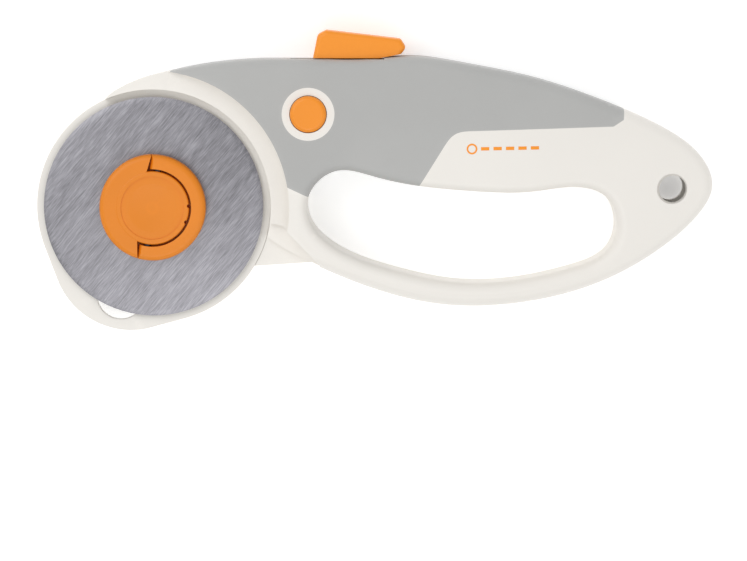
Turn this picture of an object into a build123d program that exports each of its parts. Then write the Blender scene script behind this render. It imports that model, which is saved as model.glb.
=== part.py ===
from build123d import *
import math
import os

# Rotary cutter, in millimetres, lying on its back as it lies on a table.
# Z = 0 is the table, +Z runs along the blade axis towards the blade side,
# +X runs along the handle to its tail and +Y points at the thumb slider.
# The origin is where the blade axis meets the table.

# ---- blade and guard -------------------------------------------------------
BLADE_R = 30.0
BLADE_THICK = 0.35
BLADE_BORE_R = 5.2
BLADE_BEVEL = 1.2
GUARD_RIM = 2.1
GUARD_THICK = 2.4
LOBE_R = 21.5
LOBE_PROUD = 3.7
CUT_ANGLE = 243.0
WINDOW_R = 6.5
WINDOW_IN = 5.7
WINDOW_ANGLE = 249.4

# ---- handle ----------------------------------------------------------------
CROWN_TOP = 21.5
CROWN_AT = (60.0, 14.0)
CROWN_LONG_R = 560.0
CROWN_CROSS_R = 130.0
PARTING = 10.0
FLOOR = 3.0
SKIN = 1.6
WALL = 2.4
NOSE_R = 18.3
SADDLE_Y = 40.4
COLLAR_WALL = 4.9
COLLAR_TOP = 14.0
CORNER_LID = 2.0
EDGE_R = 3.0
OPENING_EDGE_R = 2.4
HANG_AT = (141.9, 4.9)
HANG_R = 3.75
HANG_RIM = 0.4
HANG_SINK = 0.9

# ---- thumb slider and slide plate ------------------------------------------
SLIDE_TRAVEL = 11.0
SLIDE_RATIO = 0.9
SLIDER_WIDTH = 11.0
SLIDER_FRONT = 43.7
SLIDER_LENGTH = 25.4
SLIDER_HEIGHT = 7.7
STEM_FRONT = 49.0
STEM_LENGTH = 13.0
STEM_THICK = 4.0
PLATE_THICK = 1.2
PLATE_EDGE = 4.0
PLATE_RIM = 1.0
TAB_EDGE = 2.0
GUIDE_PIN_R = 1.5
GUIDE_AT = ((23.0, 29.0), (59.5, 28.0))
SLIDER_EDGE_R = 1.2
SLIDER_PIN_R = 0.9
SLIDER_PIN_IN = 1.4
DETENT_AT = 61.0
DETENT_REACH = 11.0
DETENT_RISE = 1.6
DETENT_THICK = 0.4

# ---- blade carriage --------------------------------------------------------
CARRIAGE_THICK = 2.2
CARRIAGE_WIDTH = 14.0
CARRIAGE_TAIL = 8.0
CARRIAGE_CORNER_R = 3.0
RAIL_FRONT = 12.0
RAIL_REAR = 21.0
FOLLOWER_REACH = 23.0
FOLLOWER_R = 1.5
HUB_R = 5.0
AXLE_R = 2.5
AXLE_HEAD_R = 4.4
AXLE_HEAD_THICK = 1.2
SPACER_R = 10.0
SPACER_THICK = 1.3

# ---- quick-release cap -----------------------------------------------------
CAP_R = 14.5
CAP_HEIGHT = 4.8
CAP_HUB_R = 10.0
CAP_HUB_EDGE_R = 0.5
CAP_EDGE_R = 1.6
CAP_BASE_THICK = 0.7
CAP_BASE_IN = 0.7
CAP_STEP = 0.1
CAP_SLIT = 0.6
CAP_ROOF = 0.6
DISH_RIM = 1.4
DISH_DEPTH = 0.6
DISH_STEP = 0.25
NOTCH_R = 0.55
NOTCH_ANGLES = (3.0, -23.0)
NUT_R = 5.0
WASHER_OUT_R = 9.0
WASHER_THICK = 0.5
LEVER_MID_ANGLE = -8.0
LEVER_UNDER = 0.6
LEVER_END_R = 2.2
LEVER_GAP = 0.25
LEVER_WEDGE = 1.0
LEVER_PIN_R = 0.9
LEVER_PIN_HOLD = 2.5
LEVER_PIN_SHORT = 1.3

# ---- lock button -----------------------------------------------------------
BUTTON_AT = (42.5, 25.7)
BUTTON_R = 4.95
BUTTON_GAP = 0.15
BUTTON_EDGE_R = 1.2
BUTTON_PROUD = 1.1
BUTTON_SEAT = 2.0
BUTTON_FLANGE = 0.65
BUTTON_FLANGE_THICK = 1.6
BUTTON_RING = 2.2
LOCK_STEM_R = 2.0
LOCK_EDGE = 1.9
WELL_WALL = 1.1
WELL_ROOM = 1.2
WELL_FLOOR_THICK = 1.2
SPRING_WIRE_R = 0.3
SPRING_LOOSE = 1.3
SPRING_TURNS = 4

# ---- screws ----------------------------------------------------------------
SCREW_AT = ((40.0, 13.2), (96.0, 20.0), (132.0, 10.0))
SCREW_HEAD_R = 2.6
SCREW_HEAD_THICK = 1.8
SCREW_SINK = 0.8
SCREW_R = 1.4
SCREW_END = 12.5
SCREW_CROSS = 3.0
BOSS_WALL = 2.0
GUARD_SCREW_ANGLES = (190.0, 300.0)
GUARD_SCREW_R = 1.2
GUARD_SCREW_HEAD_R = 2.2
GUARD_SCREW_HEAD_THICK = 1.1
GUARD_SCREW_LENGTH = 5.6
EAR_ANGLES = (18.0, 52.0, 86.0)
EAR_WIDTH = 8.0
EAR_REACH = 3.0

# ---- fits ------------------------------------------------------------------
GAP = 0.3
FIT = 0.05

# ---- sizes, heights and places worked out from the values above ------------
GUARD_R = BLADE_R + GUARD_RIM
LOBE_REACH = GUARD_R + LOBE_PROUD - LOBE_R
COLLAR_OUT_R = GUARD_R + GAP + COLLAR_WALL
CAVITY_INSET = SKIN + WALL
PLATE_TOP_Y = SADDLE_Y - CAVITY_INSET - 0.4
SLIDER_PIN_Y = PLATE_TOP_Y - SLIDER_PIN_IN
CARRIAGE_Z = FLOOR + GAP
PLATE_Z = CARRIAGE_Z + CARRIAGE_THICK + GAP
GUARD_Z = PARTING - GUARD_THICK
SPACER_Z = PARTING + GAP
BLADE_Z = SPACER_Z + SPACER_THICK + FIT
WASHER_Z = BLADE_Z + BLADE_THICK + FIT
CAP_Z = WASHER_Z + WASHER_THICK + FIT
CAP_TOP = CAP_Z + CAP_HEIGHT
NUT_LENGTH = CAP_HEIGHT - DISH_DEPTH - CAP_ROOF
LEVER_Z = CAP_Z + CAP_BASE_THICK + LEVER_UNDER
LEVER_TOP = CAP_TOP - CAP_STEP
LEVER_AXIS_Z = (LEVER_Z + LEVER_TOP) / 2
LEVER_IN_R = CAP_HUB_R + CAP_SLIT
LEVER_PIN_IN = CAP_HUB_R - LEVER_PIN_HOLD
LEVER_PIN_OUT = CAP_R - LEVER_PIN_SHORT
CARRIAGE_TRAVEL = SLIDE_TRAVEL * SLIDE_RATIO
OUT = (math.cos(math.radians(CUT_ANGLE)), math.sin(math.radians(CUT_ANGLE)))
FOLLOWER_AT = (-FOLLOWER_REACH * OUT[0], -FOLLOWER_REACH * OUT[1])
BUTTON_FLANGE_R = BUTTON_R + BUTTON_FLANGE
WELL_R = BUTTON_FLANGE_R + GAP
WELL_FLOOR_Z = PLATE_Z + PLATE_THICK + WELL_ROOM
SPRING_R = LOCK_STEM_R + GAP + SPRING_LOOSE
PLATE_LOW_Y = BUTTON_AT[1] - LOCK_STEM_R - GAP - LOCK_EDGE


def crown_height(x, y):
    """Height of the crowned front of the handle above the table."""
    radius = CROWN_CROSS_R - (x - CROWN_AT[0]) ** 2 / (2 * CROWN_LONG_R)
    return CROWN_TOP - CROWN_CROSS_R + math.sqrt(radius**2 - (y - CROWN_AT[1]) ** 2)


def disc(at, radius, z0, z1):
    """Upright cylinder between two heights."""
    return Pos(at[0], at[1], z0) * extrude(Circle(radius), z1 - z0)


def slot(start, end, radius, z0, z1):
    """Upright prism of a round-ended slot between two points."""
    run = math.dist(start, end)
    turn = math.degrees(math.atan2(end[1] - start[1], end[0] - start[0]))
    shape = SlotCenterToCenter(run, 2 * radius)
    middle = ((start[0] + end[0]) / 2, (start[1] + end[1]) / 2)
    return Pos(middle[0], middle[1], z0) * Rot(0, 0, turn) * extrude(shape, z1 - z0)


def block(x0, x1, y0, y1, z0, z1):
    """Box between two corners."""
    centre = Pos((x0 + x1) / 2, (y0 + y1) / 2, (z0 + z1) / 2)
    return centre * Box(x1 - x0, y1 - y0, z1 - z0)


def polar(radius, angle):
    """Point at a radius and an angle from the blade axis."""
    return (radius * math.cos(math.radians(angle)), radius * math.sin(math.radians(angle)))


def tangent_point(point, radius, side):
    """Where a line from the point touches the circle round the blade axis."""
    turn = math.degrees(math.acos(radius / math.hypot(*point)))
    return polar(radius, math.degrees(math.atan2(point[1], point[0])) + side * turn)


# ---- plan outlines ---------------------------------------------------------
def shifted(edge, distance, steps):
    """Points along an edge, each moved sideways to the edge's right."""
    points = []
    for step in range(steps + 1):
        at = edge.position_at(step / steps)
        along = edge.tangent_at(step / steps)
        points.append((at.X + along.Y * distance, at.Y - along.X * distance))
    return points


def palm_face(inset=0.0):
    """Plan of the handle behind the head: brow, saddle, tail and loop."""
    points = [
        (-10.4, 31.8), (-4, 34.8), (4, 37.0), (14, 39.0), (27, 40.3), (44, 40.5), (60, 40.5),
        (70, 41.2), (84, 39.4), (104, 35.3), (124, 28.6), (140, 21.4), (150, 13.5), (153, 5.5),
        (149.2, -2.2), (140, -10.7), (128, -18.2), (112, -24.2), (96, -26.9), (80, -26.9),
        (62, -22.9), (44, -15.6), (32, -9), (20, 2), (6, 12), (-8, 17), (-15.5, 23),
    ]
    rim = Spline(*points, periodic=True)
    if inset:
        rim = Spline(*shifted(rim, inset, 60)[:-1], periodic=True)
    return make_face(Wire([rim]))


def head_face(inset=0.0):
    """Plan of the back under the head: nose, its lower edge and its upper edge."""
    tip = (-10.8, 31.0)
    belly = (44.0, -15.4)
    radius = NOSE_R - inset
    lower = shifted(Line(belly, tangent_point(belly, NOSE_R, -1)), inset, 1)
    upper = shifted(Line(tangent_point(tip, NOSE_R, 1), tip), inset, 1)
    nose = ThreePointArc(lower[1], polar(radius, 220), upper[0])
    inner = Polyline(upper[1], (6, 28), (30, 10), lower[0])
    return make_face(Wire([Line(*lower), nose, Line(*upper), *inner.edges()]))


def opening_face(grow=0.0):
    """Plan of the finger opening, made larger by grow all round."""
    points = [
        (42.2, -0.5), (44.3, 6.4), (50.0, 10.2), (60.0, 8.8), (72.0, 6.2), (88.0, 4.6),
        (104.0, 4.5), (117.0, 5.5), (123.3, 3.1), (126.6, -4.6), (124.2, -11.8),
        (115.0, -16.6), (100.0, -20.0), (84.0, -20.7), (66.0, -17.2), (50.0, -10.9), (43.7, -5.0),
    ]
    rim = Spline(*points, periodic=True)
    if grow:
        rim = Spline(*shifted(rim, -grow, 36)[:-1], periodic=True)
    return make_face(Wire([rim]))


def guard_face(grow=0.0):
    """Plan of the guard: blade disc and lobe towards the cut."""
    lobe = Pos(LOBE_REACH * OUT[0], LOBE_REACH * OUT[1]) * Circle(LOBE_R + grow)
    return make_hull((Circle(GUARD_R + grow) + lobe).edges())


def grip_face():
    """Plan of the soft grip: head arc, finger edge, rear diagonal and brow line."""
    head_start = polar(COLLAR_OUT_R, 82.5)
    head_end = polar(COLLAR_OUT_R, 9.0)
    head = ThreePointArc(head_start, polar(COLLAR_OUT_R, 46), head_end)
    lower = Polyline(head_end, (42.4, 3.2), (46, 0), (71, 0), (72.6, 6.2), (79.6, 17.4))
    knee = Spline((79.6, 17.4), (82.0, 20.1), (85.9, 21.1), tangents=((0.55, 0.84), (1, 0.03)))
    ridge = Polyline((85.9, 21.1), (125.4, 22.2), (128.2, 24.0), (130, 52), (4, 52), head_start)
    return make_face(Wire([head, *lower.edges(), knee, *ridge.edges()]))


# ---- handle body -----------------------------------------------------------
def crown_solid(drop):
    """Everything under the doubly crowned front, lowered by drop."""
    apex = CROWN_TOP - drop
    reach = 130.0
    fall = reach**2 / (2 * CROWN_LONG_R)
    axis_z = apex - CROWN_CROSS_R
    left = CROWN_AT[0] - reach
    right = CROWN_AT[0] + reach
    ridge = Bezier((left, apex - fall), (CROWN_AT[0], apex + fall), (right, apex - fall))
    sides = Polyline((right, apex - fall), (right, axis_z), (left, axis_z), (left, apex - fall))
    profile = make_face(Wire([ridge, *sides.edges()]))
    upright = Plane((0, CROWN_AT[1], 0), x_dir=(1, 0, 0), z_dir=(0, -1, 0)) * profile
    axis = Axis((0, CROWN_AT[1], axis_z), (1, 0, 0))
    half_turn = 32
    return revolve(upright.rotate(axis, -half_turn), axis, 2 * half_turn)


def palm_solid(inset, bottom):
    """Handle behind the head drawn in by inset all round, from a height up."""
    plan = palm_face(inset) - opening_face(inset)
    prism = Pos(0, 0, bottom) * extrude(plan, CROWN_TOP + 5, dir=(0, 0, 1))
    return prism & crown_solid(inset)


def rounded_palm():
    """Handle behind the head, with its edges rounded, its saddle and its hang hole."""
    palm = palm_solid(0, 0)
    rim_length = palm_face().edges()[0].length
    long_edges = palm.edges().filter_by(lambda edge: edge.length > 0.9 * rim_length)
    palm = fillet(long_edges, EDGE_R)
    reach = opening_face().bounding_box().size.X

    def is_finger_edge(edge):
        return abs(edge.bounding_box().size.X - reach) < GAP and edge.bounding_box().size.Z < PARTING

    palm = fillet(palm.edges().filter_by(is_finger_edge), OPENING_EDGE_R)
    saddle_front = SLIDER_FRONT - SLIDE_TRAVEL - 3
    saddle_rear = SLIDER_FRONT + SLIDER_LENGTH - 6
    palm -= block(saddle_front, saddle_rear, SADDLE_Y, SADDLE_Y + 3, -1, CROWN_TOP)
    rim_z = crown_height(*HANG_AT)
    hole = disc(HANG_AT, HANG_R, -1, CROWN_TOP)
    lower_rim = Pos(*HANG_AT, HANG_RIM / 2) * Cone(HANG_R + HANG_RIM, HANG_R, HANG_RIM)
    upper_rim = Pos(*HANG_AT, rim_z) * Cone(HANG_R, HANG_R + HANG_SINK, 2 * HANG_SINK)
    return palm - hole - lower_rim - upper_rim


def head_clearance():
    """Room over the head for the guard, the blade and the cap."""
    rim = disc((0, 0), GUARD_R + FIT, GUARD_Z, CROWN_TOP + 1)
    lobe = Pos(0, 0, GUARD_Z) * extrude(guard_face(FIT), CROWN_TOP)
    return rim + lobe


def corner_cut(grow, low):
    """Set-back corner between the collar's lower end and the loop, from a height up."""
    corner = Polyline(
        (33.0, -4.6 + grow), (35.6 + grow, -5.2 + grow), (45.5 + grow, -15.6 + grow),
        (45.5 + grow, -24), (20, -24), (20, -4.6 + grow), close=True)
    return Pos(0, 0, low) * extrude(make_face(corner), CROWN_TOP)


def collar_step():
    """Material over the collar, which is lower than the grip behind it."""
    return disc((0, 0), COLLAR_OUT_R, COLLAR_TOP, CROWN_TOP + 1)


def stem_slot():
    """Slot in the top wall for the stem of the thumb slider."""
    front = STEM_FRONT - SLIDE_TRAVEL - 2 * GAP
    rear = STEM_FRONT + STEM_LENGTH + 2 * GAP
    z0 = PLATE_Z + PLATE_THICK - GAP
    z1 = PLATE_Z + PLATE_THICK + STEM_THICK + GAP
    return block(front, rear, PLATE_TOP_Y, SADDLE_Y + 3, z0, z1)


def button_bore():
    """Bore for the lock button, its flange and its stem guide."""
    flange_top = button_flange_z() + BUTTON_FLANGE_THICK + GAP
    upper = disc(BUTTON_AT, BUTTON_R + BUTTON_GAP, PARTING, CROWN_TOP + 1)
    return upper + disc(BUTTON_AT, WELL_R, WELL_FLOOR_Z, flange_top)


def button_flange_z():
    """Height of the underside of the button's flange when it is out."""
    return crown_height(*BUTTON_AT) - CAVITY_INSET - BUTTON_SEAT


def screw_hole(at, radius):
    """Hole of one case screw, with the sunk seat of its head."""
    seat = disc(at, SCREW_HEAD_R + GAP, -1, SCREW_SINK + SCREW_HEAD_THICK)
    return seat + disc(at, radius, 0, SCREW_END + GAP)


def guard_screw_hole(angle):
    """Hole of one guard screw down through the guard into the nose."""
    at = polar(guard_screw_circle(), angle)
    seat = disc(at, GUARD_SCREW_HEAD_R + FIT, PARTING - GUARD_SCREW_HEAD_THICK, PARTING + 1)
    return seat + disc(at, GUARD_SCREW_R + FIT, PARTING - GUARD_SCREW_LENGTH - FIT, PARTING)


def guard_screw_circle():
    """Radius on which the guard screws stand, the middle of the nose wall."""
    return NOSE_R - CAVITY_INSET / 2


def ear(angle, grow=0.0):
    """One ear of the guard, clamped under the collar."""
    inner = GUARD_R - 4
    outer = GUARD_R + EAR_REACH + grow
    half = EAR_WIDTH / 2 + grow
    return Rot(0, 0, angle) * block(inner, outer, -half, half, GUARD_Z, PARTING)


def carriage_channel():
    """Channel in which the blade carriage slides, open at the nose."""
    half = CARRIAGE_WIDTH / 2 + GAP
    low = -(CARRIAGE_TAIL + CARRIAGE_TRAVEL + 6)
    high = FOLLOWER_REACH + 4
    return Rot(0, 0, CUT_ANGLE - 180) * block(low, high, -half, half, FLOOR, GUARD_Z + 1)


def carriage_rails():
    """Two rails on the floor that guide the sides of the carriage."""
    inner = CARRIAGE_WIDTH / 2 + GAP
    top = CARRIAGE_Z + CARRIAGE_THICK
    left = block(-RAIL_FRONT, RAIL_REAR - WALL - GAP, inner, inner + WALL, 0, top)
    right = block(-RAIL_FRONT, RAIL_REAR, -inner - WALL, -inner, 0, top)
    return Rot(0, 0, CUT_ANGLE - 180) * (left + right)


def front_cavity():
    """Hollow of the front half, behind the collar wall."""
    inner = palm_solid(CAVITY_INSET, FLOOR)
    return inner - disc((0, 0), COLLAR_OUT_R + WALL, 0, CROWN_TOP) - corner_cut(WALL, PARTING)


def make_shells_and_grips():
    """Front and back shells with their soft grips."""
    body = rounded_palm()
    above = block(-80, 200, -80, 80, PARTING, CROWN_TOP + 5)
    core = palm_solid(SKIN, SKIN)
    grip_zone = extrude(grip_face(), CROWN_TOP + 5)
    grip_zone -= disc(BUTTON_AT, BUTTON_R + BUTTON_RING, PARTING, CROWN_TOP + 5)
    grip = (body & grip_zone) - core
    rail = stem_slot()
    grip = grip - rail
    front_grip = (grip & above) - disc((0, 0), COLLAR_OUT_R, 0, CROWN_TOP + 1)
    back_grip = grip - above - disc((0, 0), COLLAR_OUT_R, 0, CROWN_TOP + 1)

    front = (body & above) - collar_step() - head_clearance() - front_cavity()
    front -= corner_cut(0, PARTING + CORNER_LID)
    boss_r = SCREW_R + BOSS_WALL
    for at in SCREW_AT:
        front += disc(at, boss_r, PARTING, CROWN_TOP) & core & above
    front += disc(BUTTON_AT, WELL_R + WELL_WALL, WELL_FLOOR_Z + WELL_FLOOR_THICK, CROWN_TOP) & core
    front = front - front_grip - button_bore() - rail
    for at in SCREW_AT:
        front -= screw_hole(at, SCREW_R + FIT)

    head = extrude(head_face(), PARTING, dir=(0, 0, 1))
    head_cavity = Pos(0, 0, FLOOR) * extrude(head_face(CAVITY_INSET), PARTING, dir=(0, 0, 1))
    head_cavity = head_cavity & disc((0, 0), GUARD_R - WALL, FLOOR - 1, CROWN_TOP)
    back = (body - above) + head - head_clearance() - palm_solid(CAVITY_INSET, FLOOR) - head_cavity
    for at in SCREW_AT:
        back += disc(at, boss_r, 0, PARTING) & body
    for at in GUIDE_AT:
        back += disc(at, GUIDE_PIN_R + WALL, FLOOR, PLATE_Z - GAP)
    back += carriage_rails()
    back = back - carriage_channel() - back_grip - rail
    for angle in EAR_ANGLES:
        back -= ear(angle, FIT)
    for at in SCREW_AT:
        back -= screw_hole(at, SCREW_R + FIT)
        back_grip -= screw_hole(at, SCREW_R + FIT)
    for at in GUIDE_AT:
        back -= disc(at, GUIDE_PIN_R + FIT, FLOOR - FIT, PARTING)
    for angle in GUARD_SCREW_ANGLES:
        back -= guard_screw_hole(angle)
    return front, back, front_grip, back_grip


# ---- head pieces -----------------------------------------------------------
def make_guard():
    """Flat guard with its lobe, window, ears and slot for the hub."""
    guard = Pos(0, 0, GUARD_Z) * extrude(guard_face(), GUARD_THICK)
    for angle in EAR_ANGLES:
        guard += ear(angle)
    end = (CARRIAGE_TRAVEL * OUT[0], CARRIAGE_TRAVEL * OUT[1])
    guard -= slot((0, 0), end, HUB_R + GAP, GUARD_Z - 1, PARTING + 1)
    window_at = polar(GUARD_R - WINDOW_IN, WINDOW_ANGLE)
    guard -= disc(window_at, WINDOW_R, GUARD_Z - 1, PARTING + 1)
    for angle in GUARD_SCREW_ANGLES:
        guard -= guard_screw_hole(angle)
    return guard


def make_guard_screws():
    """The screws that hold the guard on the nose."""
    screws = []
    for angle in GUARD_SCREW_ANGLES:
        at = polar(guard_screw_circle(), angle)
        head = disc(at, GUARD_SCREW_HEAD_R, PARTING - GUARD_SCREW_HEAD_THICK, PARTING)
        shank = disc(at, GUARD_SCREW_R, PARTING - GUARD_SCREW_LENGTH, PARTING)
        drive = Pos(*at, PARTING) * Box(2.6, 0.6, 0.8)
        screws.append(head + shank - drive)
    return Compound(children=screws)


def make_case_screws():
    """The screws that hold the two shells together, driven from the back."""
    screws = []
    for at in SCREW_AT:
        head = disc(at, SCREW_HEAD_R, SCREW_SINK, SCREW_SINK + SCREW_HEAD_THICK - FIT)
        shank = disc(at, SCREW_R, SCREW_SINK, SCREW_END)
        cross = Pos(*at, SCREW_SINK) * (Box(SCREW_CROSS, 0.8, 2.0) + Box(0.8, SCREW_CROSS, 2.0))
        screws.append(head + shank - cross)
    return Compound(children=screws)


def make_blade():
    """Round blade with a ground bevel on its front rim."""
    blank = disc((0, 0), BLADE_R, BLADE_Z, BLADE_Z + BLADE_THICK)
    rim = blank.edges().group_by(Axis.Z)[-1]
    ground = chamfer(rim, BLADE_THICK * 0.8, BLADE_BEVEL)
    return ground - disc((0, 0), BLADE_BORE_R, BLADE_Z - 1, BLADE_Z + 1)


def make_carriage():
    """Plate that carries the hub and the follower pin."""
    half = CARRIAGE_WIDTH / 2
    top = CARRIAGE_Z + CARRIAGE_THICK
    plate = block(-CARRIAGE_TAIL, FOLLOWER_REACH + 3, -half, half, CARRIAGE_Z, top)
    plate = fillet(plate.edges().filter_by(Axis.Z), CARRIAGE_CORNER_R)
    carriage = Rot(0, 0, CUT_ANGLE - 180) * plate
    carriage += disc((0, 0), HUB_R, CARRIAGE_Z, SPACER_Z)
    carriage -= disc((0, 0), AXLE_R + FIT, 0, CROWN_TOP)
    carriage -= disc((0, 0), AXLE_HEAD_R + FIT, 0, CARRIAGE_Z + AXLE_HEAD_THICK + FIT)
    return carriage - disc(FOLLOWER_AT, FOLLOWER_R + FIT, 0, CROWN_TOP)


def make_follower():
    """Pin of the carriage that runs in the slanting slot of the slide plate."""
    return disc(FOLLOWER_AT, FOLLOWER_R, CARRIAGE_Z + FIT, PLATE_Z + PLATE_THICK)


def make_axle():
    """Stepped bolt on which the blade turns."""
    head = disc((0, 0), AXLE_HEAD_R, CARRIAGE_Z + FIT, CARRIAGE_Z + AXLE_HEAD_THICK)
    return head + disc((0, 0), AXLE_R, CARRIAGE_Z + FIT, CAP_Z + NUT_LENGTH)


def make_spacer():
    """Flanged bush between the hub and the blade, with the blade's spigot."""
    flange = disc((0, 0), SPACER_R, SPACER_Z, SPACER_Z + SPACER_THICK)
    spigot = disc((0, 0), BLADE_BORE_R - FIT, SPACER_Z, WASHER_Z + 0.2)
    return flange + spigot - disc((0, 0), AXLE_R + FIT, 0, CROWN_TOP)


def make_washer():
    """Pressure washer on the front of the blade."""
    ring = disc((0, 0), WASHER_OUT_R, WASHER_Z, WASHER_Z + WASHER_THICK)
    return ring - disc((0, 0), BLADE_BORE_R + 2 * FIT, 0, CROWN_TOP)


# ---- cap -------------------------------------------------------------------
def lever_frame():
    """Frame of the lever: X out through its middle, Y along its hinge."""
    return Rot(0, 0, LEVER_MID_ANGLE)


def cap_ring(inner, outer, z0, z1):
    """Upright ring round the blade axis."""
    return disc((0, 0), outer, z0, z1) - disc((0, 0), inner, z0, z1)


def lever_pin(radius, inner, outer):
    """Pair of cylinders along the lever's hinge."""
    length = outer - inner
    rod = Rot(90, 0, 0) * Cylinder(radius, length)
    pair = Pos(0, inner + length / 2, 0) * rod + Pos(0, -inner - length / 2, 0) * rod
    return Pos(0, 0, LEVER_AXIS_Z) * lever_frame() * pair


def make_cap():
    """Quick-release cap: base, dished hub and the fixed part of its rim."""
    base = disc((0, 0), CAP_R - CAP_BASE_IN, CAP_Z, CAP_Z + CAP_BASE_THICK)
    hub = disc((0, 0), CAP_HUB_R, CAP_Z, CAP_TOP)
    hub = fillet(hub.edges().group_by(Axis.Z)[-1], CAP_HUB_EDGE_R)
    for angle in NOTCH_ANGLES:
        hub -= disc(polar(CAP_HUB_R, angle), NOTCH_R, LEVER_Z, CAP_TOP + 1)
    root = CAP_HUB_R - 1
    rim = cap_ring(root, CAP_R, CAP_Z, LEVER_TOP)
    rims = rim.edges().filter_by(GeomType.CIRCLE).group_by(Axis.Z)[-1]
    rim = fillet(rims.sort_by(SortBy.RADIUS)[-1], CAP_EDGE_R)
    behind = (LEVER_TOP - LEVER_Z) / 2 + LEVER_GAP
    deep = behind + LEVER_WEDGE
    far = CAP_R + 1
    wedge = Polyline((0, 0), (root, -deep), (far, -behind), (far, far), (-far, far),
                     (-far, -behind), (-root, -deep), close=True)
    open_side = Rot(0, 0, LEVER_MID_ANGLE - 90) * extrude(make_face(wedge), CROWN_TOP + 5)
    open_side += lever_barrel(LEVER_END_R + LEVER_GAP) - disc((0, 0), root, 0, CROWN_TOP)
    cap = base + hub + (rim - open_side)
    dish_edge = CAP_HUB_R - DISH_RIM
    dish_r = (dish_edge**2 + DISH_DEPTH**2) / (2 * DISH_DEPTH)
    cap -= Pos(0, 0, CAP_TOP - DISH_DEPTH + dish_r) * Sphere(dish_r)
    cap -= disc((0, 0), dish_edge, CAP_TOP - DISH_STEP, CAP_TOP + 1)
    cap -= disc((0, 0), NUT_R + FIT, CAP_Z - 1, CAP_Z + NUT_LENGTH)
    return cap - lever_pin(LEVER_PIN_R + FIT / 2, LEVER_PIN_IN - FIT, CAP_R)


def lever_barrel(radius):
    """Cylinder about the lever's hinge, right through the cap."""
    return Pos(0, 0, LEVER_AXIS_Z) * lever_frame() * Rot(90, 0, 0) * Cylinder(radius, 3 * CAP_R)


def make_nut():
    """Threaded insert of the cap."""
    return cap_ring(AXLE_R + FIT, NUT_R, CAP_Z + FIT, CAP_Z + NUT_LENGTH - FIT)


def make_lever():
    """Crescent lever that folds up about the pins in its two ends."""
    ring = cap_ring(LEVER_IN_R, CAP_R, LEVER_Z, LEVER_TOP)
    rims = ring.edges().filter_by(GeomType.CIRCLE).group_by(Axis.Z)[-1]
    ring = fillet(rims.sort_by(SortBy.RADIUS)[-1], CAP_EDGE_R)
    far = CAP_R + 1
    front = lever_frame() * block(0, far, -far, far, LEVER_Z, LEVER_TOP)
    back = lever_frame() * block(-LEVER_END_R, 0, -far, far, LEVER_Z, LEVER_TOP)
    lever = ring & (front + (lever_barrel(LEVER_END_R) & back))
    return lever - lever_pin(LEVER_PIN_R + 2 * FIT, CAP_HUB_R - 1, LEVER_PIN_OUT + GAP)


# ---- slider, plate and lock ------------------------------------------------
def make_slider():
    """Thumb slider with its stem through the slot."""
    x = SLIDER_FRONT
    y = SADDLE_Y + GAP
    rear = SLIDER_FRONT + SLIDER_LENGTH
    top = y + SLIDER_HEIGHT
    profile = Polyline(
        (x, y), (x + 1.3, top - 1.3), (x + 3.6, top - 0.1), (rear - 1.5, top - 2.5),
        (rear, top - 4.8), (rear - 1.4, y + 1.1), (rear - 7.3, y), close=True)
    side = make_face(profile)
    side = fillet(side.vertices().sort_by(Axis.Y)[-4:], SLIDER_EDGE_R)
    body = Pos(0, 0, PARTING - SLIDER_WIDTH / 2) * extrude(side, SLIDER_WIDTH)
    upper = body.edges().filter_by(lambda edge: edge.center().Y > y + 0.9)
    rounded = [edge for edge in upper if edge.bounding_box().size.Z < GAP]
    body = fillet(rounded, SLIDER_EDGE_R)
    z0 = PLATE_Z + PLATE_THICK
    low = SLIDER_PIN_Y - SLIDER_PIN_IN
    stem = block(STEM_FRONT, STEM_FRONT + STEM_LENGTH, low, y + 1, z0, z0 + STEM_THICK)
    slider = body + stem
    for x_pin in slider_pin_places():
        slider -= disc((x_pin, SLIDER_PIN_Y), SLIDER_PIN_R + FIT, z0 - 1, z0 + STEM_THICK - 1 + FIT)
    return slider


def slider_pin_places():
    """Places of the two pins along the slider's stem."""
    return (STEM_FRONT + 2.0, STEM_FRONT + STEM_LENGTH - 2.0)


def make_slider_pins():
    """Pins that join the slide plate to the slider's stem."""
    top = PLATE_Z + PLATE_THICK + STEM_THICK - 1
    pins = [disc((x, SLIDER_PIN_Y), SLIDER_PIN_R, PLATE_Z, top) for x in slider_pin_places()]
    return Compound(children=pins)


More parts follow.
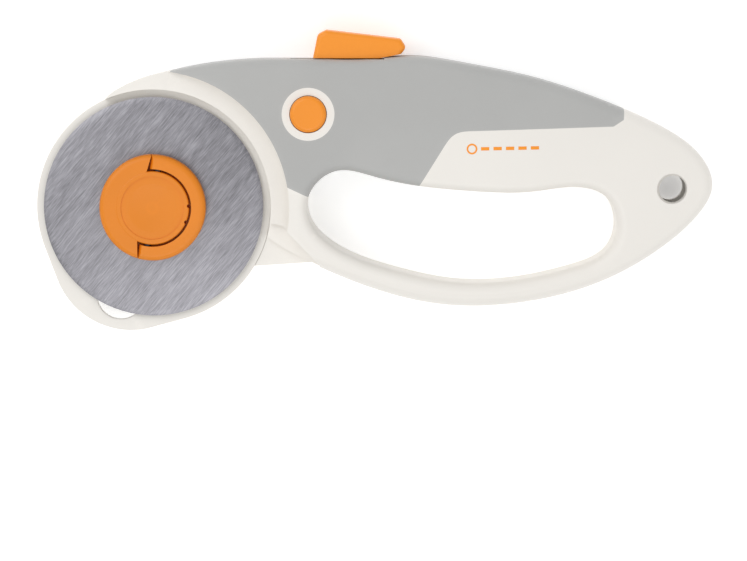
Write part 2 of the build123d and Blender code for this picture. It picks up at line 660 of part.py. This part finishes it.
def make_slide_plate():
    """Steel plate with guide slots, the lock slot and the slanting cam slot."""
    top = PLATE_Z + PLATE_THICK
    cam_end = (
        FOLLOWER_AT[0] + CARRIAGE_TRAVEL * OUT[0] + SLIDE_TRAVEL,
        FOLLOWER_AT[1] + CARRIAGE_TRAVEL * OUT[1])
    strip_x = GUIDE_AT[0][0] - PLATE_EDGE
    strip_end = GUIDE_AT[1][0] + SLIDE_TRAVEL + PLATE_EDGE
    strip_y = GUIDE_AT[0][1] + GUIDE_PIN_R + GAP + PLATE_RIM
    front_x = FOLLOWER_AT[0] - PLATE_EDGE
    front_y = FOLLOWER_AT[1] + PLATE_EDGE
    front_end = strip_x + SLIDE_TRAVEL - PLATE_EDGE
    front = block(front_x, front_end, cam_end[1] - PLATE_EDGE, front_y, PLATE_Z, top)
    strip = block(strip_x, strip_end, PLATE_LOW_Y, strip_y, PLATE_Z, top)
    tab_end = STEM_FRONT + STEM_LENGTH + TAB_EDGE
    tab = block(STEM_FRONT - TAB_EDGE, tab_end, strip_y - TAB_EDGE, PLATE_TOP_Y, PLATE_Z, top)
    plate = front + strip + tab
    plate = fillet(plate.edges().filter_by(Axis.Z), PLATE_RIM)
    for at in GUIDE_AT:
        plate -= slot(at, (at[0] + SLIDE_TRAVEL, at[1]), GUIDE_PIN_R + GAP, PLATE_Z - 1, top + 1)
    lock_end = (BUTTON_AT[0] + SLIDE_TRAVEL, BUTTON_AT[1])
    plate -= slot(BUTTON_AT, lock_end, LOCK_STEM_R + GAP, PLATE_Z - 1, top + 1)
    plate -= slot(FOLLOWER_AT, cam_end, FOLLOWER_R + GAP / 2, PLATE_Z - 1, top + 1)
    for x in slider_pin_places():
        plate -= disc((x, SLIDER_PIN_Y), SLIDER_PIN_R + FIT, PLATE_Z - 1, top + 1)
    return plate


def make_guide_pins():
    """Pins in the back shell that keep the slide plate straight."""
    top = PLATE_Z + PLATE_THICK + GAP
    pins = []
    for at in GUIDE_AT:
        pin = disc(at, GUIDE_PIN_R, FLOOR, top)
        pins.append(chamfer(pin.edges().group_by(Axis.Z)[-1], 0.3))
    return Compound(children=pins)


def make_button():
    """Domed lock button with its flange and stem."""
    flange_z = button_flange_z()
    top = crown_height(*BUTTON_AT) + BUTTON_PROUD
    head = disc(BUTTON_AT, BUTTON_R, flange_z, top)
    head = fillet(head.edges().group_by(Axis.Z)[-1], BUTTON_EDGE_R)
    flange = disc(BUTTON_AT, BUTTON_FLANGE_R, flange_z, flange_z + BUTTON_FLANGE_THICK)
    stem = disc(BUTTON_AT, LOCK_STEM_R, PLATE_Z, flange_z)
    return head + flange + stem


def make_retainer():
    """Ring that closes the button's well and seats its spring."""
    top = WELL_FLOOR_Z + WELL_FLOOR_THICK
    plate = disc(BUTTON_AT, WELL_R + WELL_WALL, WELL_FLOOR_Z, top)
    return plate - disc(BUTTON_AT, LOCK_STEM_R + GAP, 0, CROWN_TOP)


def make_lock_spring():
    """Coil spring between the retainer and the button's flange."""
    foot = WELL_FLOOR_Z + WELL_FLOOR_THICK + SPRING_WIRE_R + FIT
    height = button_flange_z() - foot - SPRING_WIRE_R - FIT
    coil = Helix(height / SPRING_TURNS, height, SPRING_R)
    wire = Plane(coil @ 0, z_dir=coil % 0) * Circle(SPRING_WIRE_R)
    return Pos(*BUTTON_AT, foot) * sweep(wire, coil, is_frenet=True)


def make_detent_spring():
    """Leaf that clicks against the lower edge of the slide plate."""
    crest = PLATE_LOW_Y - GAP
    foot = crest - DETENT_RISE
    left = DETENT_AT - DETENT_REACH
    right = DETENT_AT + DETENT_REACH
    outer = ThreePointArc((left, foot), (DETENT_AT, crest), (right, foot))
    under = foot - DETENT_THICK
    inner = ThreePointArc((right, under), (DETENT_AT, crest - DETENT_THICK), (left, under))
    right_end = Line((right, foot), (right, under))
    left_end = Line((left, under), (left, foot))
    leaf = make_face(Wire([outer, right_end, inner, left_end]))
    return Pos(0, 0, PLATE_Z - 1) * extrude(leaf, PLATE_THICK + 2)


def main():
    """Build every piece and write one STEP file for each."""
    front, back, front_grip, back_grip = make_shells_and_grips()
    pieces = {
        "handle_front_shell": front,
        "handle_back_shell": back,
        "soft_grip_front": front_grip,
        "soft_grip_back": back_grip,
        "blade_guard": make_guard(),
        "guard_screws": make_guard_screws(),
        "case_screws": make_case_screws(),
        "guide_pins": make_guide_pins(),
        "detent_spring": make_detent_spring(),
        "lock_button": make_button(),
        "lock_spring": make_lock_spring(),
        "lock_retainer": make_retainer(),
        "thumb_slider": make_slider(),
        "slider_pins": make_slider_pins(),
        "slide_plate": make_slide_plate(),
        "blade_carriage": make_carriage(),
        "follower_pin": make_follower(),
        "blade_axle": make_axle(),
        "spacer_bush": make_spacer(),
        "blade": make_blade(),
        "pressure_washer": make_washer(),
        "release_cap": make_cap(),
        "cap_nut": make_nut(),
        "cap_lever": make_lever(),
        "lever_pins": lever_pin(LEVER_PIN_R, LEVER_PIN_IN, LEVER_PIN_OUT),
    }
    os.makedirs("parts", exist_ok=True)
    for name, shape in pieces.items():
        export_step(shape, f"parts/{name}.step")


main()
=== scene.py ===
import math

import bmesh
import bpy
from mathutils import Matrix, Vector


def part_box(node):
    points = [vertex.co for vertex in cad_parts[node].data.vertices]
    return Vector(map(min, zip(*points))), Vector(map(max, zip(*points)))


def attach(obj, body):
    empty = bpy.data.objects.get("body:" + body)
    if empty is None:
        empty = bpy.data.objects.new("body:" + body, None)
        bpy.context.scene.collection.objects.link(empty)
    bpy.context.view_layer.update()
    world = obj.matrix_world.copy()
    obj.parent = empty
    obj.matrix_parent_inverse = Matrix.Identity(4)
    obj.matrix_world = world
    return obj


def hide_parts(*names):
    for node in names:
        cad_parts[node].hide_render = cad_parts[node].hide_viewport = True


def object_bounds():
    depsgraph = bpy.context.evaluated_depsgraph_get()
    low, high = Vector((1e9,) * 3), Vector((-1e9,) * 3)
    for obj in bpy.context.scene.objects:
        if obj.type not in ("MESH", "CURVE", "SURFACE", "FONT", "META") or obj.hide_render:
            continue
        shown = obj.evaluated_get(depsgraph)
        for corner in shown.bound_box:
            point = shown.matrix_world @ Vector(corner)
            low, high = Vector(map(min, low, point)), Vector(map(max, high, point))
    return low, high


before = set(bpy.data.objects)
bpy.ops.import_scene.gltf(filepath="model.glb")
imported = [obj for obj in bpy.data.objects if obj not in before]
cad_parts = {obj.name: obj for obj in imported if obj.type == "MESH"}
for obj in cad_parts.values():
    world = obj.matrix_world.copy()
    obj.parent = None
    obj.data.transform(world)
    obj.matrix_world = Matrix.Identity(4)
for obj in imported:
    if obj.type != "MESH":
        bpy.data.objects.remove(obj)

bl_info = {
    "name": "Rotary Cutter",
    "version": (1, 0, 0),
    "blender": (4, 5, 0),
    "location": "3D View > Sidebar > Rotary Cutter",
    "description": "Builds the finish and the fine pieces of a rotary cutter round its frame",
    "category": "Add Mesh",
}

MM = 0.001
CAD_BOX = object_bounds()
BLADE_LOW, BLADE_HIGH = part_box("blade")

# Radius of the blade's bore and the width of its corner breaks.
BLADE_BORE_R = 4.0 * MM
BLADE_BREAK = 0.08 * MM

# Edges sharper than this stay sharp in shading; the guard's are rounded from the second.
SHARP_ANGLE = math.radians(32)
ROUNDED_ANGLE = 45

# Printed mark: its start, its small turn, the ring's radii, the dashes' height and thickness.
MARK_START = (85.4 * MM, 16.3 * MM)
MARK_TURN = math.radians(0.8)
RING_IN_R = 1.0 * MM
RING_OUT_R = 1.45 * MM
DASHES = 5
DASH_HEIGHT = 0.9 * MM
MARK_THICK = 0.2 * MM
MARK_PROUD = 0.04 * MM
MARK_SUNK = 0.12 * MM

# Camera: its distance, its tilt and the width of its view at the object.
CAMERA_DISTANCE = 0.89
CAMERA_TILT = math.radians(4.0)
VIEW_WIDTH = 0.2047
VIEW_DROP = 0.0294
SENSOR_WIDTH = 36

# Crown of the handle's front: top height, its place and its two radii, in millimetres.
CROWN_TOP = 21.5
CROWN_AT = (60.0, 14.0)
CROWN_LONG_R = 560.0
CROWN_CROSS_R = 130.0


class CutterSizes(bpy.types.PropertyGroup):
    """Sizes of the fine pieces."""

    bevel: bpy.props.FloatProperty(
        name="Bevel width", description="Width of the ground bevel on the blade's rim",
        default=1.7 * MM, subtype="DISTANCE", unit="LENGTH")
    edge: bpy.props.FloatProperty(
        name="Guard edge", description="Rounding of the guard's moulded edges",
        default=0.35 * MM, subtype="DISTANCE", unit="LENGTH")
    mark_length: bpy.props.FloatProperty(
        name="Mark length", description="Length of the printed cutting mark",
        default=20.5 * MM, subtype="DISTANCE", unit="LENGTH")


class CutterColours(bpy.types.PropertyGroup):
    """Colours of the finishes, in linear light."""

    shell: bpy.props.FloatVectorProperty(
        name="Shell", description="Warm white of the moulded shells and guard",
        default=(0.85, 0.82, 0.77), subtype="COLOR", size=3, min=0, max=1)
    grip: bpy.props.FloatVectorProperty(
        name="Grip", description="Light grey of the soft grip",
        default=(0.44, 0.44, 0.43), subtype="COLOR", size=3, min=0, max=1)
    cap: bpy.props.FloatVectorProperty(
        name="Cap", description="Orange of the quick-release cap and its lever",
        default=(0.80, 0.235, 0.006), subtype="COLOR", size=3, min=0, max=1)
    orange: bpy.props.FloatVectorProperty(
        name="Orange", description="Brighter orange of the slider, button and print",
        default=(0.93, 0.30, 0.016), subtype="COLOR", size=3, min=0, max=1)
    blade: bpy.props.FloatVectorProperty(
        name="Blade", description="Ground steel of the blade",
        default=(0.31, 0.305, 0.33), subtype="COLOR", size=3, min=0, max=1)


# ---- node helpers ----------------------------------------------------------
def new_material(name):
    """A material with a fresh Principled shader and its node tree."""
    material = bpy.data.materials.new(name)
    material.use_nodes = True
    tree = material.node_tree
    shader = tree.nodes["Principled BSDF"]
    return material, tree, shader


def coordinates(tree, scale=(1, 1, 1), turn=0.0):
    """Object coordinates through a Mapping node."""
    source = tree.nodes.new("ShaderNodeTexCoord")
    mapping = tree.nodes.new("ShaderNodeMapping")
    mapping.vector_type = "TEXTURE"
    mapping.inputs["Scale"].default_value = scale
    mapping.inputs["Rotation"].default_value = (0, 0, turn)
    tree.links.new(source.outputs["Object"], mapping.inputs["Vector"])
    return mapping.outputs["Vector"]


def noise(tree, vector, scale, detail=3.0, roughness=0.55):
    """A noise texture on the given coordinates."""
    node = tree.nodes.new("ShaderNodeTexNoise")
    node.inputs["Scale"].default_value = scale
    node.inputs["Detail"].default_value = detail
    node.inputs["Roughness"].default_value = roughness
    tree.links.new(vector, node.inputs["Vector"])
    return node.outputs["Fac"]


def ramp(tree, value, stops):
    """A colour ramp with the given (place, colour) stops."""
    node = tree.nodes.new("ShaderNodeValToRGB")
    elements = node.color_ramp.elements
    while len(elements) < len(stops):
        elements.new(0.5)
    for element, (place, colour) in zip(elements, stops):
        element.position = place
        element.color = (*colour, 1)
    tree.links.new(value, node.inputs["Fac"])
    return node.outputs["Color"]


def spread(tree, value, low, high):
    """A value from 0 to 1 spread between low and high."""
    node = tree.nodes.new("ShaderNodeMapRange")
    node.inputs["To Min"].default_value = low
    node.inputs["To Max"].default_value = high
    tree.links.new(value, node.inputs["Value"])
    return node.outputs["Result"]


def bump(tree, height, distance, strength, under=None):
    """A bump from a height, over another normal if one is given."""
    node = tree.nodes.new("ShaderNodeBump")
    node.inputs["Distance"].default_value = distance
    node.inputs["Strength"].default_value = strength
    tree.links.new(height, node.inputs["Height"])
    if under is not None:
        tree.links.new(under, node.inputs["Normal"])
    return node.outputs["Normal"]


def shade(colour, factor):
    """The colour made lighter or darker."""
    return tuple(min(1.0, channel * factor) for channel in colour)


def worn(tree, colour_socket, worn_colour, amount):
    """Mixes a worn colour in along edges and corners."""
    geometry = tree.nodes.new("ShaderNodeNewGeometry")
    edges = ramp(tree, geometry.outputs["Pointiness"], [(0.52, (0, 0, 0)), (0.62, (1, 1, 1))])
    grain = noise(tree, coordinates(tree), 900)
    mask = tree.nodes.new("ShaderNodeMath")
    mask.operation = "MULTIPLY"
    tree.links.new(edges, mask.inputs[0])
    tree.links.new(spread(tree, grain, 0.0, 2.0 * amount), mask.inputs[1])
    mix = tree.nodes.new("ShaderNodeMix")
    mix.data_type = "RGBA"
    mix.inputs[7].default_value = (*worn_colour, 1)
    tree.links.new(mask.outputs["Value"], mix.inputs[0])
    tree.links.new(colour_socket, mix.inputs[6])
    return mix.outputs[2]


# ---- finishes --------------------------------------------------------------
def moulded(name, colour, gloss, grain_scale, grain_depth, variation):
    """Moulded plastic: faint flow marks, fine grain and lightly worn edges."""
    material, tree, shader = new_material(name)
    place = coordinates(tree)
    flow = noise(tree, place, 38, 4)
    dark = shade(colour, 1 - variation)
    light = shade(colour, 1 + variation / 2)
    tint = ramp(tree, flow, [(0.3, dark), (0.7, light)])
    tint = worn(tree, tint, shade(colour, 1.15), 0.25)
    tree.links.new(tint, shader.inputs["Base Color"])
    grain = noise(tree, place, grain_scale, 2)
    tree.links.new(spread(tree, grain, gloss - 0.06, gloss + 0.08), shader.inputs["Roughness"])
    smears = noise(tree, place, 90, 3)
    under = bump(tree, smears, 0.05 * MM, 0.12)
    tree.links.new(bump(tree, grain, grain_depth, 0.35, under), shader.inputs["Normal"])
    shader.inputs["IOR"].default_value = 1.48
    return material


def soft_touch(name, colour):
    """Soft-touch rubber: fine spark texture and a faint sheen."""
    material, tree, shader = new_material(name)
    place = coordinates(tree)
    flow = noise(tree, place, 30, 4)
    tint = ramp(tree, flow, [(0.3, shade(colour, 0.97)), (0.7, shade(colour, 1.03))])
    tint = worn(tree, tint, shade(colour, 1.25), 0.3)
    tree.links.new(tint, shader.inputs["Base Color"])
    pores = tree.nodes.new("ShaderNodeTexVoronoi")
    pores.inputs["Scale"].default_value = 2600
    tree.links.new(place, pores.inputs["Vector"])
    grain = noise(tree, place, 2200, 2)
    tree.links.new(spread(tree, grain, 0.52, 0.68), shader.inputs["Roughness"])
    under = bump(tree, pores.outputs["Distance"], 0.03 * MM, 0.35)
    tree.links.new(bump(tree, grain, 0.02 * MM, 0.3, under), shader.inputs["Normal"])
    shader.inputs["Sheen Weight"].default_value = 0.15
    shader.inputs["Sheen Roughness"].default_value = 0.5
    shader.inputs["IOR"].default_value = 1.5
    return material


def ground_steel(name, colour, turn):
    """Ground steel: long fine streaks in one direction over cloudy patches."""
    material, tree, shader = new_material(name)
    lines = coordinates(tree, (13.0, 1.0, 1.0), turn)
    fine = noise(tree, lines, 3000, 3, 0.6)
    wide = noise(tree, coordinates(tree, (7.0, 1.0, 1.0), turn), 600, 3)
    cloud = noise(tree, coordinates(tree), 30, 3)
    both = tree.nodes.new("ShaderNodeMix")
    both.data_type = "FLOAT"
    both.inputs[0].default_value = 0.3
    tree.links.new(fine, both.inputs[2])
    tree.links.new(wide, both.inputs[3])
    stops = [(0.3, shade(colour, 0.62)), (0.5, colour), (0.7, shade(colour, 1.45))]
    streaks = ramp(tree, both.outputs[0], stops)
    patch = tree.nodes.new("ShaderNodeMix")
    patch.data_type = "RGBA"
    patch.blend_type = "MULTIPLY"
    patch.inputs[0].default_value = 0.5
    tree.links.new(streaks, patch.inputs[6])
    patches = ramp(tree, cloud, [(0.3, (0.8, 0.8, 0.8)), (0.7, (1, 1, 1))])
    tree.links.new(patches, patch.inputs[7])
    tree.links.new(patch.outputs[2], shader.inputs["Base Color"])
    shader.inputs["Metallic"].default_value = 1.0
    tree.links.new(spread(tree, fine, 0.3, 0.5), shader.inputs["Roughness"])
    tree.links.new(bump(tree, fine, 0.01 * MM, 0.3), shader.inputs["Normal"])
    return material


def plain_metal(name, colour, roughness):
    """Turned or stamped metal with fine scratches."""
    material, tree, shader = new_material(name)
    place = coordinates(tree, (6, 1, 1), 0.4)
    scratches = noise(tree, place, 700, 4, 0.7)
    tint = ramp(tree, scratches, [(0.35, shade(colour, 0.82)), (0.65, shade(colour, 1.1))])
    tree.links.new(tint, shader.inputs["Base Color"])
    shader.inputs["Metallic"].default_value = 1.0
    rough = spread(tree, scratches, roughness - 0.1, roughness + 0.1)
    tree.links.new(rough, shader.inputs["Roughness"])
    tree.links.new(bump(tree, scratches, 0.01 * MM, 0.3), shader.inputs["Normal"])
    return material


def finish_of(key):
    """The named finish, made once and then shared."""
    known = bpy.data.materials.get(key)
    if known is not None:
        return known
    colours = bpy.context.scene.cutter_colours
    if key == "shell_white":
        return moulded(key, tuple(colours.shell), 0.42, 1500, 0.012 * MM, 0.012)
    if key == "orange_gloss":
        return moulded(key, tuple(colours.orange), 0.36, 1300, 0.014 * MM, 0.04)
    if key == "cap_orange":
        return moulded(key, tuple(colours.cap), 0.4, 1100, 0.02 * MM, 0.05)
    if key == "grip_grey":
        return soft_touch(key, tuple(colours.grip))
    if key == "blade_ground":
        return ground_steel(key, tuple(colours.blade), math.radians(50))
    # Near-black finish; on the steel lever pins it is painted shade for the slits at the lever's
    # ends.
    if key == "black_inner":
        return moulded(key, (0.03, 0.03, 0.032), 0.5, 1400, 0.012 * MM, 0.1)
    if key == "brass_turned":
        return plain_metal(key, (0.72, 0.52, 0.22), 0.3)
    if key == "steel_plain":
        return plain_metal(key, (0.5, 0.5, 0.52), 0.33)
    raise ValueError(f"no finish named {key}")


# ---- mesh helpers ----------------------------------------------------------
def settle(mesh_data, name, body, finish, slot, *nodes):
    """Turns a finished bmesh into a piece that rides on a body."""
    bmesh.ops.recalc_face_normals(mesh_data, faces=mesh_data.faces)
    mesh = bpy.data.meshes.new(name)
    mesh_data.to_mesh(mesh)
    mesh_data.free()
    piece = bpy.data.objects.new(name, mesh)
    bpy.context.scene.collection.objects.link(piece)
    mesh.materials.append(finish_of(finish))
    for polygon in mesh.polygons:
        polygon.use_smooth = True
    mesh.set_sharp_from_angle(angle=SHARP_ANGLE)
    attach(piece, body)
    if nodes:
        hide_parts(*nodes)
    return piece


def cad_copy(node):
    """A merged copy of a CAD node's mesh."""
    shape = bmesh.new()
    shape.from_mesh(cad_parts[node].data)
    bmesh.ops.remove_doubles(shape, verts=shape.verts, dist=0.002 * MM)
    bmesh.ops.dissolve_degenerate(shape, edges=shape.edges, dist=0.001 * MM)
    return shape


def sharp_edges(shape, degrees):
    """Edges whose two faces meet at more than the given angle."""
    limit = math.radians(degrees)
    edges = []
    for edge in shape.edges:
        if len(edge.link_faces) == 2 and edge.calc_face_angle(0) > limit:
            edges.append(edge)
    return edges


def spin_profile(points, steps):
    """A closed ring or disc spun round the blade axis from (radius, height) points."""
    shape = bmesh.new()
    corners = [shape.verts.new((radius, 0, height)) for radius, height in points]
    for first, second in zip(corners, corners[1:]):
        shape.edges.new((first, second))
    bmesh.ops.spin(
        shape, geom=list(shape.verts) + list(shape.edges), cent=(0, 0, 0), axis=(0, 0, 1),
        angle=math.tau, steps=steps, use_merge=True)
    bmesh.ops.remove_doubles(shape, verts=shape.verts, dist=0.001 * MM)
    return shape


def crown_height(x, y):
    """Height of the handle's crowned front, in metres, from a place in metres."""
    radius = CROWN_CROSS_R - (x / MM - CROWN_AT[0]) ** 2 / (2 * CROWN_LONG_R)
    across = y / MM - CROWN_AT[1]
    return (CROWN_TOP - CROWN_CROSS_R + math.sqrt(radius**2 - across**2)) * MM


def dress(node, finish):
    """Gives a CAD node that stays its finish."""
    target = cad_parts[node]
    target.data.materials.clear()
    target.data.materials.append(finish_of(finish))


# ---- operators -------------------------------------------------------------
class CUTTER_OT_handle(bpy.types.Operator):
    """Finishes the two shells and the two soft grips"""

    bl_idname = "cutter.handle"
    bl_label = "Handle"

    def execute(self, context):
        dress("handle_front_shell", "shell_white")
        dress("handle_back_shell", "shell_white")
        dress("soft_grip_front", "grip_grey")
        dress("soft_grip_back", "grip_grey")
        dress("lock_retainer", "shell_white")
        return {"FINISHED"}


class CUTTER_OT_guard(bpy.types.Operator):
    """Builds the guard with its moulded edges rounded"""

    bl_idname = "cutter.guard"
    bl_label = "Guard"

    def execute(self, context):
        shape = cad_copy("blade_guard")
        bmesh.ops.dissolve_limit(
            shape, angle_limit=math.radians(1), verts=shape.verts, edges=shape.edges,
            use_dissolve_boundaries=False, delimit={"NORMAL"})
        edges = sharp_edges(shape, ROUNDED_ANGLE)
        bmesh.ops.bevel(
            shape, geom=edges, offset=context.scene.cutter_sizes.edge, offset_type="OFFSET",
            segments=3, profile=0.5, affect="EDGES", clamp_overlap=True, material=-1)
        bmesh.ops.triangulate(shape, faces=shape.faces)
        settle(shape, "guard_plate", "handle", "shell_white", "guard_plastic", "blade_guard")
        return {"FINISHED"}


class CUTTER_OT_blade(bpy.types.Operator):
    """Builds the round blade with its ground bevel and keen rim"""

    bl_idname = "cutter.blade"
    bl_label = "Blade"

    def execute(self, context):
        bevel = context.scene.cutter_sizes.bevel
        rim = BLADE_HIGH[0]
        bore = BLADE_BORE_R
        low = BLADE_LOW[2]
        high = BLADE_HIGH[2]
        chamfer = BLADE_BREAK
        profile = [
            (bore, low + chamfer), (bore, high - chamfer), (bore + chamfer, high),
            (rim - bevel, high), (rim - 0.35 * MM, low + 0.12 * MM), (rim, low + 0.03 * MM),
            (rim - 0.02 * MM, low), (bore + chamfer, low), (bore, low + chamfer),
        ]
        shape = spin_profile(profile, 220)
        settle(shape, "round_blade", "blade", "blade_ground", "blade_steel", "blade")
        return {"FINISHED"}


class CUTTER_OT_cap(bpy.types.Operator):
    """Finishes the quick-release cap, its lever and the metal inside them"""

    bl_idname = "cutter.cap"
    bl_label = "Cap"

    def execute(self, context):
        dress("release_cap", "cap_orange")
        dress("cap_lever", "cap_orange")
        dress("cap_nut", "brass_turned")
        # The lever pins are steel; the near-black finish on them is painted shade, so the slits at
        # the lever's ends read dark.
        dress("lever_pins", "black_inner")
        dress("pressure_washer", "steel_plain")
        dress("spacer_bush", "black_inner")
        return {"FINISHED"}


class CUTTER_OT_controls(bpy.types.Operator):
    """Finishes the thumb slider and the lock button"""

    bl_idname = "cutter.controls"
    bl_label = "Slider and button"

    def execute(self, context):
        dress("thumb_slider", "orange_gloss")
        dress("lock_button", "orange_gloss")
        return {"FINISHED"}


class CUTTER_OT_mark(bpy.types.Operator):
    """Builds the printed mark: a ring and a dashed cutting line"""

    bl_idname = "cutter.mark"
    bl_label = "Printed mark"

    def execute(self, context):
        shape = bmesh.new()
        corners = [
            (RING_IN_R, 0), (RING_OUT_R, 0), (RING_OUT_R, MARK_THICK), (RING_IN_R, MARK_THICK),
        ]
        ring = spin_profile([*corners, corners[0]], 40)
        holder = bpy.data.meshes.new("mark_ring")
        ring.to_mesh(holder)
        ring.free()
        shape.from_mesh(holder)
        bpy.data.meshes.remove(holder)
        bmesh.ops.translate(shape, verts=shape.verts, vec=(RING_OUT_R, 0, 0))
        pitch = (context.scene.cutter_sizes.mark_length - 3.6 * MM) / DASHES
        for dash in range(DASHES):
            made = bmesh.ops.create_cube(shape, size=1)
            bmesh.ops.scale(shape, verts=made["verts"], vec=(pitch * 0.66, DASH_HEIGHT, MARK_THICK))
            along = 3.9 * MM + pitch * (dash + 0.33)
            bmesh.ops.translate(shape, verts=made["verts"], vec=(along, 0, MARK_THICK / 2))
        bmesh.ops.transform(shape, matrix=Matrix.Rotation(MARK_TURN, 4, "Z"), verts=shape.verts)
        bmesh.ops.translate(shape, verts=shape.verts, vec=(*MARK_START, 0))
        for vert in shape.verts:
            lift = MARK_PROUD if vert.co.z > MARK_THICK / 2 else -MARK_SUNK
            vert.co.z = crown_height(vert.co.x, vert.co.y) + lift
        settle(shape, "printed_mark", "handle", "orange_gloss", "orange_plastic")
        return {"FINISHED"}


class CUTTER_OT_hardware(bpy.types.Operator):
    """Finishes the screws, pins, springs and sliding plates"""

    bl_idname = "cutter.hardware"
    bl_label = "Hardware"

    def execute(self, context):
        plain = (
            "guard_screws", "case_screws", "guide_pins", "detent_spring", "lock_spring",
            "slider_pins", "slide_plate", "blade_carriage", "follower_pin", "blade_axle",
        )
        for node in plain:
            dress(node, "steel_plain")
        return {"FINISHED"}


class CUTTER_OT_stage(bpy.types.Operator):
    """Builds the pale floor, the soft lights and the camera"""

    bl_idname = "cutter.stage"
    bl_label = "Stage"

    def execute(self, context):
        scene = context.scene
        shape = bmesh.new()
        bmesh.ops.create_grid(shape, x_segments=2, y_segments=2, size=3)
        bmesh.ops.translate(shape, verts=shape.verts, vec=(0.06, 0, CAD_BOX[0][2] - 0.3 * MM))
        mesh = bpy.data.meshes.new("floor")
        shape.to_mesh(mesh)
        shape.free()
        floor = bpy.data.objects.new("floor", mesh)
        scene.collection.objects.link(floor)
        material, tree, shader = new_material("pale_floor")
        flat = noise(tree, coordinates(tree), 6)
        pale = ramp(tree, flat, [(0.3, (0.93, 0.93, 0.93)), (0.7, (0.95, 0.95, 0.95))])
        tree.links.new(pale, shader.inputs["Base Color"])
        shader.inputs["Roughness"].default_value = 0.8
        shader.inputs["Emission Color"].default_value = (1, 1, 1, 1)
        shader.inputs["Emission Strength"].default_value = 0.32
        mesh.materials.append(material)

        world = bpy.data.worlds.new("soft_room")
        world.use_nodes = True
        background = world.node_tree.nodes["Background"]
        background.inputs["Color"].default_value = (1, 1, 1, 1)
        background.inputs["Strength"].default_value = 0.56
        scene.world = world
        scene.view_settings.view_transform = "Standard"

        middle = Vector((0.06, 0.005, 0.01))
        lamps = (
            ("key_light", (-0.55, 0.6, 1.0), 1.1, 6.0),
            ("fill_light", (0.9, -0.6, 0.9), 1.3, 2.6),
            ("top_light", (0.0, -0.65, 1.4), 1.0, 4.6),
        )
        for name, place, size, power in lamps:
            light = bpy.data.lights.new(name, "AREA")
            light.size = size
            light.energy = power
            lamp = bpy.data.objects.new(name, light)
            lamp.location = place
            lamp.rotation_euler = (middle - Vector(place)).to_track_quat("-Z", "Y").to_euler()
            scene.collection.objects.link(lamp)

        camera_data = bpy.data.cameras.new("camera")
        camera = bpy.data.objects.new("camera", camera_data)
        scene.collection.objects.link(camera)
        aim = Vector((0.0602, 0.009, 0.010))
        away = Vector((0, math.sin(CAMERA_TILT), math.cos(CAMERA_TILT)))
        camera.location = aim + away * CAMERA_DISTANCE
        camera.rotation_euler = (-CAMERA_TILT, 0, 0)
        camera_data.sensor_width = SENSOR_WIDTH
        camera_data.lens = SENSOR_WIDTH * CAMERA_DISTANCE / VIEW_WIDTH
        camera_data.shift_y = -VIEW_DROP / VIEW_WIDTH
        scene.camera = camera
        return {"FINISHED"}


class CUTTER_PT_panel(bpy.types.Panel):
    """Sidebar panel with every step"""

    bl_idname = "CUTTER_PT_panel"
    bl_label = "Rotary Cutter"
    bl_space_type = "VIEW_3D"
    bl_region_type = "UI"
    bl_category = "Rotary Cutter"

    def draw(self, context):
        layout = self.layout
        for group in (context.scene.cutter_sizes, context.scene.cutter_colours):
            box = layout.box()
            for name in group.__annotations__:
                box.prop(group, name)
        for operator in OPERATORS:
            layout.operator(operator.bl_idname)


OPERATORS = (
    CUTTER_OT_handle, CUTTER_OT_guard, CUTTER_OT_blade, CUTTER_OT_cap, CUTTER_OT_controls,
    CUTTER_OT_mark, CUTTER_OT_hardware, CUTTER_OT_stage,
)
CLASSES = (CutterSizes, CutterColours, *OPERATORS, CUTTER_PT_panel)


def register():
    for item in CLASSES:
        bpy.utils.register_class(item)
    bpy.types.Scene.cutter_sizes = bpy.props.PointerProperty(type=CutterSizes)
    bpy.types.Scene.cutter_colours = bpy.props.PointerProperty(type=CutterColours)


def unregister():
    del bpy.types.Scene.cutter_colours
    del bpy.types.Scene.cutter_sizes
    for item in reversed(CLASSES):
        bpy.utils.unregister_class(item)


def main():
    register()
    bpy.ops.cutter.handle()
    bpy.ops.cutter.guard()
    bpy.ops.cutter.blade()
    bpy.ops.cutter.cap()
    bpy.ops.cutter.controls()
    bpy.ops.cutter.mark()
    bpy.ops.cutter.hardware()
    bpy.ops.cutter.stage()


if __name__ == "__main__":
    main()
